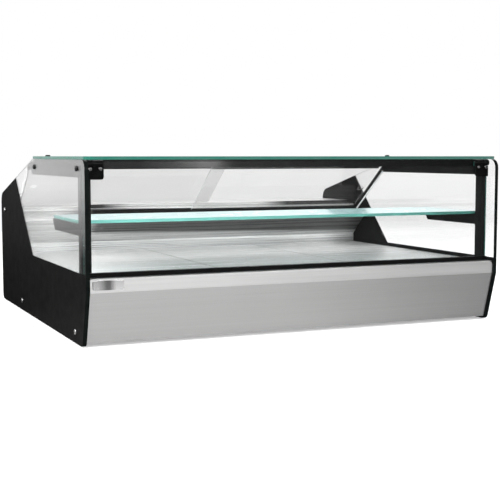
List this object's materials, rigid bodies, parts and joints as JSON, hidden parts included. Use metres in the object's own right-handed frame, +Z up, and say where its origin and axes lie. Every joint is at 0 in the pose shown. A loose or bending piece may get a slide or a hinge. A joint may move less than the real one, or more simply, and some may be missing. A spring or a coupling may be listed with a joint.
{
  "type": "heated display case",
  "caption": "Heated counter display case with glass end panels and top, a lift-up front glass, a glass shelf over a warm steel deck and sloping sliding doors at the back.",
  "frame": {"origin": "middle of the footprint, on the counter", "axes": "+Z up, +Y from the customer's side to the server's side, +X to the customer's right"},
  "size_m": [0.91, 0.8, 0.358],
  "materials": {
    "clear_glass": "clear toughened",
    "printed_glass": "toughened, black ceramic print round a clear window",
    "door_plastic": "clear",
    "steel": "brushed",
    "black_metal": "black powder coat",
    "black_plastic": "satin",
    "bolt_steel": "satin",
    "element": "heat darkened",
    "amber": "translucent",
    "rubber": "matt"
  },
  "bodies": {
    "cabinet": {"glass_top": "clear_glass", "shelf_glass": "clear_glass", "left_end_panel": "printed_glass", "right_end_panel": "printed_glass", "fascia": "steel", "deck_plate_left": "steel", "deck_plate_middle": "steel", "deck_plate_right": "steel", "deck_strip": "steel", "shield": "steel", "cabin_back": "steel", "server_ledge": "steel", "base_pan": "steel", "rear_wall": "steel", "left_cheek": "steel", "right_cheek": "steel", "front_rail": "black_metal", "header": "black_metal", "left_frame": "black_metal", "right_frame": "black_metal", "left_hinge_lug": "black_metal", "right_hinge_lug": "black_metal", "lower_track_inner": "black_plastic", "lower_track_outer": "black_plastic", "left_jamb": "black_plastic", "right_jamb": "black_plastic", "thermostat": "black_plastic", "switch_housing": "black_plastic", "gland": "black_plastic", "left_bolt_front": "bolt_steel", "left_bolt_rear": "bolt_steel", "left_bolt_toe": "bolt_steel", "left_bolt_middle": "bolt_steel", "left_bolt_heel": "bolt_steel", "left_bolt_top": "bolt_steel", "right_bolt_front": "bolt_steel", "right_bolt_rear": "bolt_steel", "right_bolt_toe": "bolt_steel", "right_bolt_middle": "bolt_steel", "right_bolt_heel": "bolt_steel", "right_bolt_top": "bolt_steel", "element_left": "element", "element_middle": "element", "element_right": "element", "lamp": "amber", "left_foot_front": "rubber", "left_foot_rear": "rubber", "right_foot_front": "rubber", "right_foot_rear": "rubber"},
    "left_door": {"left_door": "door_plastic"},
    "right_door": {"right_door": "door_plastic"},
    "front_window": {"front_glass": "clear_glass", "front_glass_profile": "black_metal", "left_glass_clamp": "black_metal", "right_glass_clamp": "black_metal"},
    "knob": {"knob": "black_plastic"},
    "rocker": {"rocker": "black_plastic"}
  },
  "joints": [
    {"name": "left_door_slide", "type": "slide", "parent": "cabinet", "child": "left_door", "axis": [1, 0, 0], "range_m": [0, 0.415]},
    {"name": "right_door_slide", "type": "slide", "parent": "cabinet", "child": "right_door", "axis": [-1, 0, 0], "range_m": [0, 0.415]},
    {"name": "front_glass_lift", "type": "hinge", "parent": "cabinet", "child": "front_window", "pos_m": [0, -0.373, 0.3415], "axis": [-1, 0, 0], "range_deg": [0, 80]},
    {"name": "knob_turn", "type": "hinge", "parent": "cabinet", "child": "knob", "pos_m": [0.33, 0.38, 0.13], "axis": [0, -1, 0], "range_deg": [0, 270]},
    {"name": "rocker_tilt", "type": "hinge", "parent": "cabinet", "child": "rocker", "pos_m": [0.261, 0.375, 0.13], "axis": [1, 0, 0], "range_deg": [0, 16]}
  ]
}
